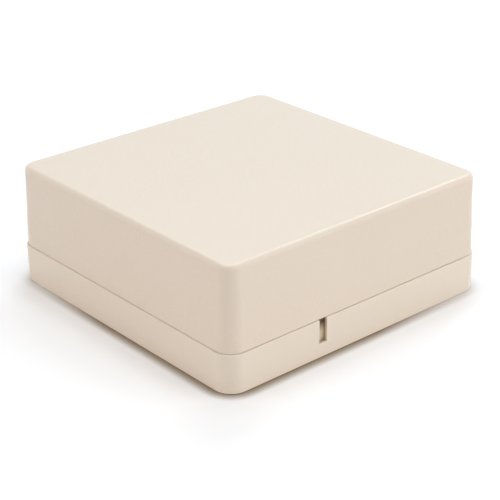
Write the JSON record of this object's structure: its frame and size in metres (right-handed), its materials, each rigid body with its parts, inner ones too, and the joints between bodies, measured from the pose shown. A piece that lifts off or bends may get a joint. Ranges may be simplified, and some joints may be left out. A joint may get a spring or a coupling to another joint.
{
  "type": "trunking junction box",
  "caption": "Square surface-mounted junction box for cable trunking: a low screw-down base, a deep push-on cover that pries off at a slot, and a screw terminal block inside.",
  "frame": {"origin": "middle of the back face that lies on the wall", "axes": "+Z out of the wall towards the cover, -Y towards the side with the pry slot, X along that side"},
  "size_m": [0.08, 0.08, 0.03],
  "materials": {
    "base": "satin moulded",
    "cover": "satin moulded",
    "insulator": "moulded, dull",
    "plate": "rolled strip",
    "plated_steel": "bright plated"
  },
  "bodies": {
    "base": {"base": "base", "terminal_block": "insulator", "bus_plate_1": "plate", "bus_plate_2": "plate", "bus_plate_3": "plate", "bus_plate_4": "plate", "bus_plate_5": "plate", "clamp_washers": "plated_steel", "clamp_screws": "plated_steel", "block_screws": "plated_steel"},
    "cover": {"cover": "cover"}
  },
  "joints": [
    {"name": "cover_lift", "type": "slide", "parent": "base", "child": "cover", "axis": [0, 0, 1], "range_m": [0, 0.03]}
  ]
}
